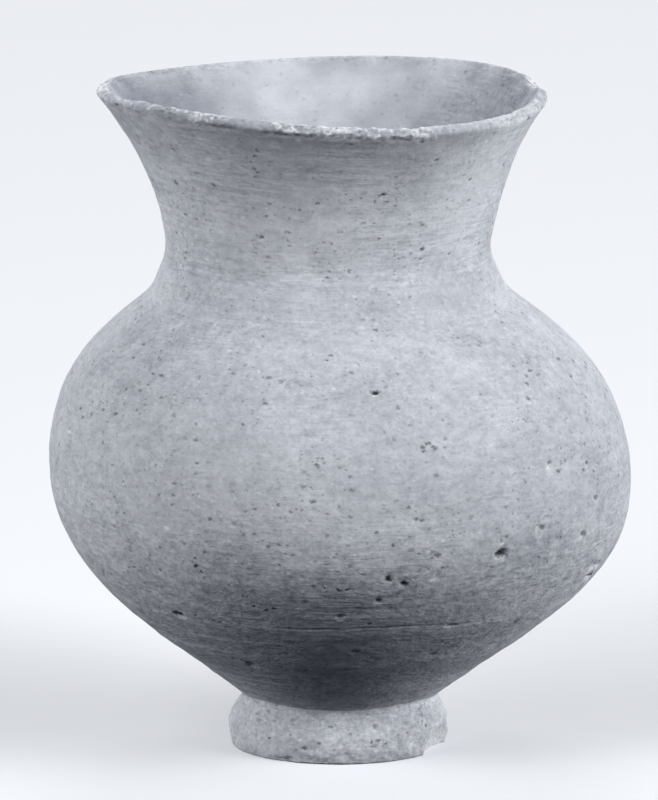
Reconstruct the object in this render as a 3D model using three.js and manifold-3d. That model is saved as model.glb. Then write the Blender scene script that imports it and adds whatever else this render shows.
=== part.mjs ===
// A small wheel-thrown earthenware jar: a round, slightly pear-shaped body, a short waisted neck that flares to
// a wide worn mouth, and a low ring foot. The potter made the body, the neck and the ring apart and luted them
// together with slip while the clay was firm, so each is a solid of its own and so is each layer of slip.
// Millimetres, +Z up, the origin on the table under the middle of the belly. -Y is the front of the jar.

import * as THREE from "three";
import { mergeVertices } from "three/addons/utils/BufferGeometryUtils.js";
import Module from "manifold-3d";

const wasm = await Module();
wasm.setup();

// Heights above the table
const baseHeight = 5.2; // underside of the body, inside the ring foot
const seamHeight = 10.6; // where the ring foot ends and the wall of the body comes out
const ledgeHeight = 33.5; // where the potter stopped shaving the underside
const bellyHeight = 57.5;
const jointHeight = 97.6; // level top of the body, on which the neck stands
const waistHeight = 105.5;
const lipHeight = 135.5; // outer edge of the lip

// Outside radii
const baseRadius = 14.4;
const seamRadius = 20.0;
const bellyRadius = 60.0;
const jointRadius = 35.3;
const waistRadius = 33.5;
const lipRadius = 46.2;

// Wall thicknesses
const floorWall = 6.6;
const bellyWall = 4.6;
const jointWall = 4.4;
const waistWall = 4.2;
const lipWall = 2.6;

// Slopes of the wall, in degrees up from the outward horizontal
const seamSlope = 39;
const jointSlope = 117;
const flareSlope = 50;
const footEdgeSlope = 125;
const footToeSlope = 55;

// How far each curve runs on before it bends: the bigger the reach, the fuller the form
const undersideReach = 23.3;
const lowerBellyReach = 21.8;
const upperBellyReach = 27.4;
const shoulderReach = 8.0;
const neckFootReach = 3.2;
const neckWaistReach = 1.8;
const flareReach = 15.9;
const lipReach = 1.3;
const floorReach = 14;
const bowlReach = 23;
const footToeReach = 1.3;
const footBulgeReach = 1.8;

// The shaved underside and the finger rings inside the body
const ledgeDepth = 0.35;
const ringDepth = 0.4;
const ringCount = 11;

// The ring foot: a coil pressed on, fullest a little above the table
const footBearingOuter = 22;
const footBearingInner = 14.9;
const footBulgeRadius = 22.7;
const footBulgeHeight = 4.5;
const footEdgeWidth = 0.4; // the top edge, smeared thin against the body
const footInnerBevel = 1.2; // from the bore up to the seat

// The luted joints
const slipThickness = 0.5; // layer between the foot and the body
const neckSlipThickness = 1.0; // layer under the neck
const slipBead = 0.4; // how far squeezed-out slip stands proud
const seatGap = 0.3;

// The jar isn't true: these are its sideways shifts towards +X, and the wave of its rim
const footShift = -0.35;
const underbellyShift = 0.9;
const neckShift = -2.35;
const lipShift = -3.85;
const underbellyHeight = 38;
const rimTilt = 0.95;
const rimTiltDirection = -128;
const rimSaddle = 1.2;
const rimSaddleDirection = 36;
const seamWave = 0.45;

// Steps round the jar and along its curves
const segments = 64;
const lowerSteps = 10;
const upperSteps = 10;
const neckFootSteps = 3;
const flareSteps = 9;
const lipSteps = 4;
const footSteps = 4;

const point = (radius, height) => new THREE.Vector2(radius, height);
const direction = (degrees) => new THREE.Vector2(
  Math.cos(THREE.MathUtils.degToRad(degrees)),
  Math.sin(THREE.MathUtils.degToRad(degrees)),
);

// Points of a cubic curve that leaves one point at one slope and arrives at another point at another slope.
function curve(from, fromSlope, fromReach, to, toSlope, toReach, steps) {
  const leave = from.clone().addScaledVector(direction(fromSlope), fromReach);
  const arrive = to.clone().addScaledVector(direction(toSlope), -toReach);
  return new THREE.CubicBezierCurve(from, leave, arrive, to).getPoints(steps);
}

// The sideways shift of the jar's centre line at a height.
const centreLine = new THREE.SplineCurve([
  point(footShift, 0),
  point(footShift, footBulgeHeight),
  point(0, seamHeight),
  point(underbellyShift, underbellyHeight),
  point(0, bellyHeight),
  point(neckShift, jointHeight),
  point(neckShift, waistHeight + 10),
  point(lipShift, lipHeight),
]).getPoints(60);

function shiftAt(height) {
  const above = centreLine.findIndex((p) => p.y > height);
  if (above < 0) return centreLine.at(-1).x;
  if (above === 0) return centreLine[0].x;
  const [low, high] = [centreLine[above - 1], centreLine[above]];
  return THREE.MathUtils.mapLinear(height, low.y, high.y, low.x, high.x);
}

// How far the rim rises above its level at an angle round the jar.
function rimWave(angle) {
  const tilt = Math.cos(angle - THREE.MathUtils.degToRad(rimTiltDirection));
  const saddle = Math.cos(2 * (angle - THREE.MathUtils.degToRad(rimSaddleDirection)));
  return rimTilt * tilt + rimSaddle * saddle;
}

// How far the smeared top of the foot runs up the body at an angle round the jar.
const seamRise = (angle) => -seamWave * (Math.cos(4 * angle) + 0.4 * Math.sin(3 * angle));

// Turns a profile, which runs up the outside and down the inside, into a round solid with the jar's lean.
function thrown(profile, bend = () => {}) {
  const geometry = new THREE.LatheGeometry(profile, segments).rotateX(Math.PI / 2);
  const position = geometry.getAttribute("position");
  const vertex = new THREE.Vector3();
  for (let i = 0; i < position.count; i += 1) {
    vertex.fromBufferAttribute(position, i);
    const shift = shiftAt(vertex.z);
    bend(vertex, Math.atan2(vertex.y, vertex.x));
    vertex.x += shift;
    position.setXYZ(i, vertex.x, vertex.y, vertex.z);
  }
  return geometry;
}

function solidOf(geometry) {
  const bare = geometry.clone();
  bare.deleteAttribute("normal");
  bare.deleteAttribute("uv");
  const merged = mergeVertices(bare);
  return new wasm.Manifold(new wasm.Mesh({
    numProp: 3,
    vertProperties: merged.attributes.position.array,
    triVerts: new Uint32Array(merged.index.array),
  }));
}

function geometryOf(solid) {
  const mesh = solid.getMesh();
  const geometry = new THREE.BufferGeometry();
  geometry.setAttribute("position", new THREE.BufferAttribute(mesh.vertProperties, 3));
  geometry.setIndex(new THREE.BufferAttribute(mesh.triVerts, 1));
  const faceted = geometry.toNonIndexed();
  faceted.computeVertexNormals();
  return faceted;
}

// Takes flakes off a piece. Each flake is a hollow of a length round the jar, a depth and a height.
function chipped(geometry, flakes) {
  const scars = flakes.map(({ degrees, radius, height, length, depth, tall, lean = 0 }) => {
    const angle = THREE.MathUtils.degToRad(degrees);
    const scar = new THREE.SphereGeometry(0.5, 14, 9).scale(2 * depth, length, tall);
    scar.rotateY(THREE.MathUtils.degToRad(-lean)).rotateZ(angle);
    scar.translate(radius * Math.cos(angle) + shiftAt(height), radius * Math.sin(angle), height);
    return solidOf(scar);
  });
  return geometryOf(scars.reduce((rest, scar) => rest.subtract(scar), solidOf(geometry)));
}

// Where the outer wall of the body starts, and where its curves meet
const baseEdge = point(baseRadius, baseHeight);
const seam = point(seamRadius, seamHeight);
const bellyOut = point(bellyRadius, bellyHeight);
const bellyIn = point(bellyRadius - bellyWall, bellyHeight);
const jointOut = point(jointRadius, jointHeight);
const jointIn = point(jointRadius - jointWall, jointHeight);
const finer = 4; // the wall is read between its corners at this many steps to each of them
const undersideWall = curve(
  seam, seamSlope, undersideReach, bellyOut, 90, lowerBellyReach, lowerSteps * finer,
);

// The radius of the body's outside at a height between the foot and the belly.
function undersideRadius(height) {
  const above = Math.max(1, undersideWall.findIndex((p) => p.y >= height));
  const [low, high] = [undersideWall[above - 1], undersideWall[above]];
  return THREE.MathUtils.mapLinear(height, low.y, high.y, low.x, high.x);
}

// The body: shaved thinner below a faint ledge, and ringed inside by the fingers that drew it up.
function bodyProfile() {
  const corners = undersideWall.filter((p, i) => i % finer === 0);
  const belowLedge = corners.filter((p) => p.y < ledgeHeight - 2 * ledgeDepth);
  const aboveLedge = corners.filter((p) => p.y > ledgeHeight + ledgeDepth);
  const shaved = belowLedge.map((p) => {
    const share = THREE.MathUtils.smoothstep(p.y, seamHeight, ledgeHeight);
    return point(p.x - ledgeDepth * share, p.y);
  });
  const ledge = [
    point(undersideRadius(ledgeHeight) - ledgeDepth, ledgeHeight - ledgeDepth),
    point(undersideRadius(ledgeHeight), ledgeHeight),
  ];
  const shoulder = curve(
    bellyOut, 90, upperBellyReach, jointOut, jointSlope, shoulderReach, upperSteps,
  );
  const insideTop = curve(
    bellyIn, 90, upperBellyReach - 1, jointIn, jointSlope, shoulderReach, ringCount - 1,
  ).reverse();
  const insideBowl = curve(
    point(0, baseHeight + floorWall), 0, floorReach, bellyIn, 90, bowlReach, ringCount + 1,
  ).reverse();
  const inside = [...insideTop, ...insideBowl.slice(1)];
  const ringed = inside.map((p, i) => {
    const groove = i % 2 === 1 && p.x > baseRadius ? ringDepth : 0;
    const outwards = p.clone().sub(point(0, bellyHeight)).normalize();
    return p.clone().addScaledVector(outwards, groove);
  });
  return [
    point(0, baseHeight), baseEdge, ...shaved, ...ledge, ...aboveLedge, ...shoulder.slice(1), ...ringed,
  ];
}

// The neck: a level foot on the slip, a narrow waist, and a flare with a worn round lip.
const neckFootOut = point(jointRadius, jointHeight + neckSlipThickness);
const neckFootIn = point(jointRadius - jointWall, neckFootOut.y);
const waistOut = point(waistRadius, waistHeight);
const waistIn = point(waistRadius - waistWall, waistHeight);
const lipOut = point(lipRadius, lipHeight);
const lipIn = lipOut.clone().addScaledVector(direction(flareSlope + 90), lipWall);

function neckProfile() {
  const outside = [
    ...curve(neckFootOut, jointSlope, neckFootReach, waistOut, 90, neckWaistReach, neckFootSteps),
    ...curve(waistOut, 90, neckWaistReach, lipOut, flareSlope, flareReach, flareSteps).slice(1),
  ];
  const inside = [
    ...curve(neckFootIn, jointSlope, neckFootReach, waistIn, 90, neckWaistReach, neckFootSteps),
    ...curve(waistIn, 90, neckWaistReach, lipIn, flareSlope, flareReach, flareSteps).slice(1),
  ].reverse();
  const lip = curve(
    lipOut, flareSlope, lipReach, lipIn, flareSlope + 180, lipReach, lipSteps,
  ).slice(1, -1);
  return [...outside, ...lip, ...inside, neckFootOut.clone()];
}

function waveRim(vertex, angle) {
  vertex.z += rimWave(angle) * THREE.MathUtils.smoothstep(vertex.z, waistHeight, lipHeight);
}

const rimFlakes = [
  { degrees: 11, radius: lipRadius - 0.6, height: lipHeight + 2.6, length: 16, depth: 2.6, tall: 4.6 },
  { degrees: -32, radius: lipRadius + 0.9, height: lipHeight - 0.4, length: 24, depth: 1.2, tall: 3.4 },
  { degrees: -63, radius: lipRadius + 0.6, height: lipHeight, length: 4, depth: 1.3, tall: 3.2 },
  { degrees: -84, radius: lipRadius + 0.7, height: lipHeight, length: 9, depth: 1.1, tall: 2.4 },
  { degrees: -128, radius: lipRadius + 0.6, height: lipHeight - 1.2, length: 17, depth: 1.6, tall: 5 },
  { degrees: 190, radius: lipRadius + 0.8, height: lipHeight, length: 8, depth: 1.2, tall: 3 },
  { degrees: 174, radius: lipRadius - 0.9, height: lipHeight + 3.3, length: 26, depth: 2.6, tall: 3.6 },
];

// Points on the seat of the foot: the cone under the body, moved out by a distance square to it.
const seatDirection = seam.clone().sub(baseEdge).normalize();
const seatNormal = point(seatDirection.y, -seatDirection.x);
function seatPoint(share, distance) {
  return baseEdge.clone().lerp(seam, share).addScaledVector(seatNormal, distance);
}

// Points just off the wall of the body above the seam.
const wallDirection = direction(seamSlope);
function wallPoint(rise, distance) {
  const height = seamHeight + rise;
  return point(undersideRadius(height), height).addScaledVector(direction(seamSlope - 90), distance);
}

const footSeatDistance = slipThickness + 2 * seatGap;
const seatShares = [0.15, 0.4, 0.7, 1];

// The ring foot: a level bearing face, a full outside, and a seat that fits under the body.
function footProfile() {
  const seat = seatShares.map((share) => seatPoint(share, footSeatDistance)).reverse();
  const edge = seatPoint(1, footSeatDistance + footEdgeWidth);
  const bulge = point(footBulgeRadius, footBulgeHeight);
  const bearingOut = point(footBearingOuter, 0);
  return [
    ...curve(bearingOut, footToeSlope, footToeReach, bulge, 90, footBulgeReach, footSteps),
    ...curve(bulge, 90, footBulgeReach, edge, footEdgeSlope, footToeReach, footSteps).slice(1),
    ...seat,
    point(footBearingInner, seat.at(-1).y - footInnerBevel),
    point(footBearingInner, 0),
    bearingOut.clone(),
  ];
}

// The slip under the foot: a thin cone between two clearances, with a bead squeezed out along the seam.
function footSlipProfile() {
  const under = seatShares.map((share) => seatPoint(share, seatGap + slipThickness));
  const over = seatShares.map((share) => seatPoint(share, seatGap)).reverse();
  return [
    ...under,
    seatPoint(1, seatGap + slipThickness).addScaledVector(wallDirection, seatGap),
    seatPoint(1, footSeatDistance + footEdgeWidth).addScaledVector(wallDirection, seatGap),
    wallPoint(slipThickness + slipBead, seatGap + slipThickness),
    wallPoint(slipThickness + 2 * slipBead, seatGap),
    ...over,
    under[0].clone(),
  ];
}

// The uneven seam: the foot's top edge and the slip slide up and down the seat, and the bead along the wall.
function waveSeam(vertex, angle) {
  const share = THREE.MathUtils.smoothstep(vertex.z, footBulgeHeight, seamHeight);
  const along = vertex.z > seamHeight ? wallDirection : seatDirection;
  const run = seamRise(angle) * share;
  vertex.x += run * along.x * Math.cos(angle);
  vertex.y += run * along.x * Math.sin(angle);
  vertex.z += run * along.y;
}

const footFlakes = [
  { degrees: 181, radius: footBulgeRadius + 0.5, height: 2.4, length: 3, depth: 1.3, tall: 3.2 },
  { degrees: -13, radius: footBearingOuter + 0.5, height: 0.6, length: 18, depth: 2.6, tall: 4.2 },
  { degrees: -24, radius: footBulgeRadius + 0.7, height: 6.8, length: 9, depth: 1.0, tall: 3.4 },
  { degrees: -118, radius: footBearingOuter + 0.6, height: 0.6, length: 7, depth: 1.1, tall: 1.8 },
];

// The slip under the neck: a level layer with a bead squeezed out inside and outside.
function neckSlipProfile() {
  const low = jointHeight;
  const high = jointHeight + neckSlipThickness;
  const out = jointRadius;
  const inner = jointRadius - jointWall;
  return [
    point(out, low),
    point(out + slipBead, (low + high) / 2),
    point(out, high),
    point(inner, high),
    point(inner - slipBead, (low + high) / 2),
    point(inner, low),
    point(out, low),
  ];
}

// Fired clay: pale and a little cool on the wall, paler and coarser on the foot
const bodyClay = new THREE.MeshStandardMaterial({ color: 0xb9bcc4, roughness: 0.92, metalness: 0 });
const neckClay = new THREE.MeshStandardMaterial({ color: 0xb6b9c1, roughness: 0.9, metalness: 0 });
const footClay = new THREE.MeshStandardMaterial({ color: 0xc2c5cb, roughness: 0.95, metalness: 0 });
const slipClay = new THREE.MeshStandardMaterial({ color: 0xbcbfc6, roughness: 0.95, metalness: 0 });

const jar = new THREE.Group();

function add(name, geometry, material) {
  const mesh = new THREE.Mesh(geometry, material);
  mesh.name = name;
  jar.add(mesh);
}

add("body", thrown(bodyProfile()), bodyClay);
add("neck", chipped(thrown(neckProfile(), waveRim), rimFlakes), neckClay);
add("neck_luting_slip", thrown(neckSlipProfile()), slipClay);
add("foot_ring", chipped(thrown(footProfile(), waveSeam), footFlakes), footClay);
add("foot_luting_slip", thrown(footSlipProfile(), waveSeam), slipClay);

export default jar;
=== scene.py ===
import bpy
import numpy as np
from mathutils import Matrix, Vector


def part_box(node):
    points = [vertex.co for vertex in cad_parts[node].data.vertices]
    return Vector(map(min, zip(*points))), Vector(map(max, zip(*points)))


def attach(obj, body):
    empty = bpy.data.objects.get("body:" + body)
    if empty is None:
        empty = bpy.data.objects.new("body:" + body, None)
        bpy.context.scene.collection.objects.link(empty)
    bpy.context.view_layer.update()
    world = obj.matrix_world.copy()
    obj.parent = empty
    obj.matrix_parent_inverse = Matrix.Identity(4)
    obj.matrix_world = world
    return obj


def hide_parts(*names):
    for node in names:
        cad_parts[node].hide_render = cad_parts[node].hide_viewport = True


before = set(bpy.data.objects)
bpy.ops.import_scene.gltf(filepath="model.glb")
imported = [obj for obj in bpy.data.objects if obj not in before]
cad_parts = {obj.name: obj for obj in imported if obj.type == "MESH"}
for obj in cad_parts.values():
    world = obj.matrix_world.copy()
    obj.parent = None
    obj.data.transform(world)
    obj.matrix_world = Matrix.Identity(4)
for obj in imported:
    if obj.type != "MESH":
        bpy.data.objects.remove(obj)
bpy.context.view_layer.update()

MM = 0.001

# Radii of the outer wall and heights above the table, in millimetres
BODY_LOW, BODY_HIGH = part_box("body")
BASE_HEIGHT = BODY_LOW.z / MM
JOINT_HEIGHT = BODY_HIGH.z / MM
BELLY_RADIUS = (BODY_HIGH.x - BODY_LOW.x) / MM / 2
BASE_EDGE = np.array([14.4, BASE_HEIGHT])
SEAM = np.array([20.0, 10.6])
BELLY = (BELLY_RADIUS, 57.5)
JOINT = (35.3, JOINT_HEIGHT)
SLIP_UNDER_NECK = 1.0
NECK_FOOT = (35.3, JOINT_HEIGHT + SLIP_UNDER_NECK)
WAIST = (33.5, 105.5)
LIP = (46.2, 135.5)

# Slopes of the profile there, in degrees up from the outward horizontal
SEAM_SLOPE = 39
JOINT_SLOPE = 117
FLARE_SLOPE = 50

# Walls
FLOOR_WALL = 6.6
BELLY_WALL = 4.6
JOINT_WALL = 4.4
WAIST_WALL = 4.2
LIP_WALL = 2.6

# The ring foot: radii and heights, and slopes where its face and its upper edge end
BEARING_OUTER = (22, 0)
BEARING_INNER = (14.9, 0)
BULGE = (22.7, 4.5)
FOOT_EDGE = np.array([20.9, 9.75])
BEARING_SLOPE = 55
FOOT_EDGE_SLOPE = 125

# How far the Bezier curves of the profile reach from the end with its slope towards the other end
UNDERSIDE_REACH = 23.3
BELLY_REACH_DOWN = 21.8
BELLY_REACH_UP = 27.4
JOINT_REACH = 8
NECK_FOOT_REACH = 3.2
WAIST_REACH = 1.8
LIP_REACH = 15.9
FLOOR_REACH = 14
INSIDE_REACH_DOWN = 23
INSIDE_REACH_UP = 26.4
LIP_TURN_REACH = 1.3
FOOT_END_REACH = 1.3
BULGE_REACH = 1.8

# The jar leans: shifts of its centre line towards +X, each with its height. Its rim tilts and waves.
CENTRE_LINE = (
    (-0.35, 0), (-0.35, 4.5), (0, SEAM[1]), (0.9, 38), (0, BELLY[1]), (-2.35, JOINT_HEIGHT), (-2.35, 115.5),
    (-3.85, LIP[1]),
)
RIM_TILT, RIM_TILT_TOWARDS = 0.95, -128
RIM_SADDLE, RIM_SADDLE_TOWARDS = 1.2, 36
SEAM_WAVE = 0.45

# Columns round each piece, and how much closer they stand at the front
BODY_COLUMNS = 512
NECK_COLUMNS = 640
FOOT_COLUMNS = 448
CROWDING = 0.33

# Steps along the profiles
BODY_STEP = 0.84
LEDGE_STEP = 0.24
INSIDE_STEP = 2.6
HIDDEN_STEP = 1.4
NECK_STEP = 0.56
LIP_STEP = 0.34
RIM_INSIDE = 4
RIM_INSIDE_STEP = LIP_STEP * 1.6
NECK_INSIDE_STEP = 1.15
FOOT_STEP = 0.42
SLIP_STEP = 0.5
BEAD_STEP = 0.22
SEAT_STEP = 1.2


def direction(degrees):
    """The unit vector at an angle up from the outward horizontal."""
    return np.array([np.cos(np.radians(degrees)), np.sin(np.radians(degrees))])


def cubic(start, start_slope, start_reach, end, end_slope, end_reach, count=400):
    """A four-point Bezier curve in the radius-height plane: it leaves start and arrives at end along the two
    slopes, with its inner points a reach away from each."""
    p0 = np.array(start, float)
    p3 = np.array(end, float)
    p1 = p0 + start_reach * direction(start_slope)
    p2 = p3 - end_reach * direction(end_slope)
    t = np.linspace(0, 1, count)[:, None]
    return (1 - t) ** 3 * p0 + 3 * (1 - t) ** 2 * t * p1 + 3 * (1 - t) * t**2 * p2 + t**3 * p3


def through(knots, count=60):
    """A smooth line through all its knots. Between two neighbours a and b it is
    t^3 (2a - 2b + u + v) + t^2 (-3a + 3b - 2u - v) + t u + a,
    where u and v are half the way from the knot before to the knot after."""
    knots = np.array(knots, float)
    padded = np.concatenate([knots[:1], knots, knots[-1:]])
    place = np.linspace(0, len(knots) - 1, count + 1)
    cell = np.minimum(place.astype(int), len(knots) - 2)
    t = (place - cell)[:, None]
    before, a, b, after = (padded[cell + i] for i in range(4))
    u = (b - before) / 2
    v = (after - a) / 2
    return (2 * a - 2 * b + u + v) * t**3 + (-3 * a + 3 * b - 2 * u - v) * t**2 + u * t + a


def lengths(line):
    """The length along a line at each of its points: the running sum of the steps between them."""
    return np.concatenate([[0], np.cumsum(np.linalg.norm(np.diff(line, axis=0), axis=1))])


def read_at(line, wanted):
    """The points of a line at the wanted lengths along it."""
    along = lengths(line)
    return np.stack([np.interp(wanted, along, line[:, 0]), np.interp(wanted, along, line[:, 1])], axis=1)


def even(line, step):
    """The same line with its points a step apart: radius and height are read at equal lengths along it."""
    line = np.array(line, float)
    end = lengths(line)[-1]
    return read_at(line, np.linspace(0, end, max(2, round(end / step) + 1)))


def graded(line, step, fine_step, places, width):
    """The same line with its points a step apart, and a fine step apart within a width of the places along
    it: the steps per millimetre are summed along the line, and the points go where the sum is whole."""
    along = lengths(line)
    dense = np.linspace(0, along[-1], 4000)
    near = np.max([np.exp(-((dense - place) / width) ** 4) for place in places], axis=0)
    steps = np.cumsum(1 / step + (1 / fine_step - 1 / step) * near) * (dense[1] - dense[0])
    return read_at(line, np.interp(np.linspace(steps[0], steps[-1], round(steps[-1]) + 1), steps, dense))


def smooth(low, high, value):
    """Rises from 0 at low to 1 at high, as 3t^2 - 2t^3."""
    t = np.clip((value - low) / (high - low), 0, 1)
    return t * t * (3 - 2 * t)


def noise(points, size, seed):
    """Value noise from -1 to 1 whose lumps are about one size across: random numbers on the corners of a
    cubic lattice, blended by smooth weights along the three axes. The lattice repeats after 32 cells."""
    cells = 32
    corners = np.random.default_rng(seed).uniform(-1, 1, (cells, cells, cells))
    place = np.asarray(points) / size
    low = np.floor(place).astype(int)
    weight = place - low
    weight = weight**3 * (weight * (weight * 6 - 15) + 10)
    total = np.zeros(place.shape[:-1])
    for corner in np.ndindex(2, 2, 2):
        share = np.prod(np.where(corner, weight, 1 - weight), axis=-1)
        at = (low + corner) % cells
        total += share * corners[at[..., 0], at[..., 1], at[..., 2]]
    return total


def layered(points, *layers):
    """The sum of layers of noise, each with its height, the size of its lumps and its seed."""
    return sum(height * noise(points, size, seed) for height, size, seed in layers)


def columns_round(count):
    """The columns' angles in radians: equal steps p, bent as p - c cos p to crowd towards the front."""
    steps = np.linspace(-np.pi, np.pi, count, endpoint=False)
    return steps - CROWDING * np.cos(steps)


def carried_round(out, up, angles):
    """Vectors with an outward and an upward part, (out cos a, out sin a, up) at each angle a."""
    return np.stack(np.broadcast_arrays(out * np.cos(angles), out * np.sin(angles), up), axis=-1)


def spin(line, angles):
    """A surface of revolution: radius and height of each point of the line, carried round by each angle."""
    return carried_round(line[:, :1], line[:, 1:], angles)


def outward(line, angles):
    """The normals of that surface: the line's tangent turned a quarter turn to the right, carried round."""
    tangent = np.gradient(line, axis=0)
    tangent /= np.linalg.norm(tangent, axis=1)[:, None] + 1e-9
    return carried_round(tangent[:, 1:], -tangent[:, :1], angles)


# The outer wall from the seam to the lip, as one line, which the wheel marks of every piece follow
underside = cubic(SEAM, SEAM_SLOPE, UNDERSIDE_REACH, BELLY, 90, BELLY_REACH_DOWN)
shoulder = cubic(BELLY, 90, BELLY_REACH_UP, JOINT, JOINT_SLOPE, JOINT_REACH)
neck_low = cubic(NECK_FOOT, JOINT_SLOPE, NECK_FOOT_REACH, WAIST, 90, WAIST_REACH)
flare = cubic(WAIST, 90, WAIST_REACH, LIP, FLARE_SLOPE, LIP_REACH)
wall = np.concatenate([underside, shoulder[1:], neck_low, flare[1:]])
centre_line = through(CENTRE_LINE)

# The outside of the ring foot
toe = cubic(BEARING_OUTER, BEARING_SLOPE, FOOT_END_REACH, BULGE, 90, BULGE_REACH)
top = cubic(BULGE, 90, BULGE_REACH, FOOT_EDGE, FOOT_EDGE_SLOPE, FOOT_END_REACH)
foot_wall = np.concatenate([toe, top[1:]])


def climb(height):
    """The length along the outer wall up to a height. Below the seam and over the lip it goes by height."""
    along = lengths(wall)
    inside = np.interp(height, wall[:, 1], along)
    return inside + np.minimum(height - wall[0, 1], 0) + np.maximum(height - wall[-1, 1], 0)


def radius_at(line, height):
    """The radius of an outline at a height."""
    return np.interp(height, line[:, 1], line[:, 0])


def lean(points):
    """Moves each point sideways as the jar leans: the shift is read at the point's height."""
    leant = points.copy()
    leant[..., 0] += np.interp(points[..., 2], centre_line[:, 1], centre_line[:, 0])
    return leant


def lift(angles, heights):
    """How far the rim's tilt and its two-humped wave lift the flare: the more, the nearer the lip."""
    tilt = RIM_TILT * np.cos(angles - np.radians(RIM_TILT_TOWARDS))
    saddle = RIM_SADDLE * np.cos(2 * (angles - np.radians(RIM_SADDLE_TOWARDS)))
    return (tilt + saddle) * smooth(WAIST[1], LIP[1], heights)


def wave_rim(points, angles):
    """Lifts each point of the flare with the rim."""
    waved = points.copy()
    waved[..., 2] += lift(angles, points[..., 2])
    return waved


def wave_seam(points, angles):
    """Slides the foot's smeared top up and down the body's cone by a wave of four humps and one of three."""
    rise = -SEAM_WAVE * (np.cos(4 * angles) + 0.4 * np.sin(3 * angles))
    rise = rise * smooth(BULGE[1], SEAM[1], points[..., 2])
    return points + rise[..., None] * carried_round(*direction(SEAM_SLOPE), angles)


def carve(points, normals, hollows, deepest):
    """Hollows the surface: each hollow is an ellipsoid at a centre, and a point inside it slides in along its
    normal until it is on the ellipsoid. With q the point and e the inward normal in the ellipsoid's own
    scaled axes, the slide t solves |q + t e| = 1. Gives the points and how far each has slid."""
    slid = np.zeros(points.shape[:-1])
    for centre, axes, halves in hollows:
        scaled = (points - centre) @ axes.T / halves
        inward = -normals @ axes.T / halves
        a = np.sum(inward**2, axis=-1)
        b = np.sum(scaled * inward, axis=-1)
        c = np.sum(scaled**2, axis=-1) - 1
        run = (-b + np.sqrt(np.maximum(b * b - a * c, 0))) / a
        slid = np.maximum(slid, np.where(c < 0, np.minimum(run, deepest), 0))
    return points - normals * slid[..., None], slid


def hollow(degrees, radius, height, round_the_jar, deep, tall, turn=0):
    """An ellipsoid for carve: its centre, its axes round the jar, outwards and up, turned about the outward
    one, and its half sizes along them."""
    out = carried_round(1, 0, np.radians(degrees))
    level = carried_round(1, 0, np.radians(degrees + 90))
    up = np.array([0.0, 0.0, 1.0])
    tip = np.radians(turn)
    axes = np.stack([np.cos(tip) * level + np.sin(tip) * up, out, np.cos(tip) * up - np.sin(tip) * level])
    return out * radius + up * height, axes, np.array([round_the_jar, deep, tall]) / 2


def bridge(low, high):
    """The faces between two rings of point numbers. Rings of one length give quads, a ring with several times
    more points gives many-sided faces, and a single point gives a fan of triangles."""
    if len(high) == 1:
        return np.stack([low, np.roll(low, -1), np.repeat(high, len(low))], axis=1)
    if len(low) == 1:
        return np.stack([np.repeat(low, len(high)), np.roll(high, -1), high], axis=1)
    if len(low) >= len(high):
        ratio = len(low) // len(high)
        fine = (np.arange(len(high))[:, None] * ratio + np.arange(ratio + 1)) % len(low)
        return np.concatenate([low[fine], np.roll(high, -1)[:, None], high[:, None]], axis=1)
    ratio = len(high) // len(low)
    fine = (np.arange(len(low))[:, None] * ratio + np.arange(ratio, -1, -1)) % len(high)
    return np.concatenate([low[:, None], np.roll(low, -1)[:, None], high[fine]], axis=1)


# What the materials read at each point, beside its place on the wheel
FLOATS_READ = ("broken", "coarse", "tone_and_painted_light")


def band(points, climbed, broken=0, coarse=1, tone_and_painted_light=0, skin=None):
    """One grid of a piece, leant, with what the materials read at its points: the place of each before
    anything was carved off, with the climb along the wall as its height, and how broken, coarse and pale,
    the paleness carrying uneven tone and painted light and shade."""
    skin = lean(points if skin is None else skin)
    wheel = np.stack([skin[..., 0], skin[..., 1], np.broadcast_to(climbed, points.shape[:2])], axis=-1)
    floats = zip(FLOATS_READ, (broken, coarse, tone_and_painted_light))
    spread = {name: np.broadcast_to(value, points.shape[:2]).ravel() for name, value in floats}
    return {"points": lean(points), "wheel": wheel.reshape(-1, 3) * MM, **spread}


def mesh_piece(name, bands, closed_loop):
    """One smooth-shaded mesh from bands that follow each other along the profile, joined ring to ring. A pole
    is a band of one point. In a closed loop, such as a ring's section, the last row joins the first."""
    rings = []
    start = 0
    for rows in (part["points"].shape[:2] for part in bands):
        rings += list(start + np.arange(rows[0] * rows[1]).reshape(rows))
        start += rows[0] * rows[1]
    pairs = list(zip(rings[:-1], rings[1:]))
    if closed_loop:
        pairs.append((rings[-1], rings[0]))
    faces = [face for low, high in pairs for face in bridge(low, high).tolist()]
    points = np.concatenate([part["points"].reshape(-1, 3) for part in bands])
    mesh = bpy.data.meshes.new(name)
    mesh.from_pydata((points * MM).tolist(), [], faces)
    mesh.polygons.foreach_set("use_smooth", np.ones(len(mesh.polygons), bool))
    wheel = np.concatenate([part["wheel"] for part in bands]).astype(np.float32)
    mesh.attributes.new("wheel", "FLOAT_VECTOR", "POINT").data.foreach_set("vector", wheel.ravel())
    for read in FLOATS_READ:
        values = np.concatenate([part[read] for part in bands]).astype(np.float32)
        mesh.attributes.new(read, "FLOAT", "POINT").data.foreach_set("value", values)
    piece = bpy.data.objects.new(name, mesh)
    bpy.context.scene.collection.objects.link(piece)
    return piece


# The inside was wiped with a wet hand: its grain and pores are this much fainter
INSIDE_COARSENESS = 0.25

# How many times longer than high the lumps of the wheel marks are
STREAK_LENGTH = 20


def wheel_space(points):
    """Where a point lies for the wheel marks: squeezed sideways, so that lumps become long level streaks, and
    with the climb along the wall in place of the height."""
    space = points / STREAK_LENGTH
    space[..., 2] = climb(points[..., 2])
    return space


def wheel_marks(points, seed):
    """The height of the throwing marks: broad finger ridges, and fine lines left by grit."""
    return layered(wheel_space(points), (0.09, 4.6, seed), (0.035, 1.5, seed + 1))


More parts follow.
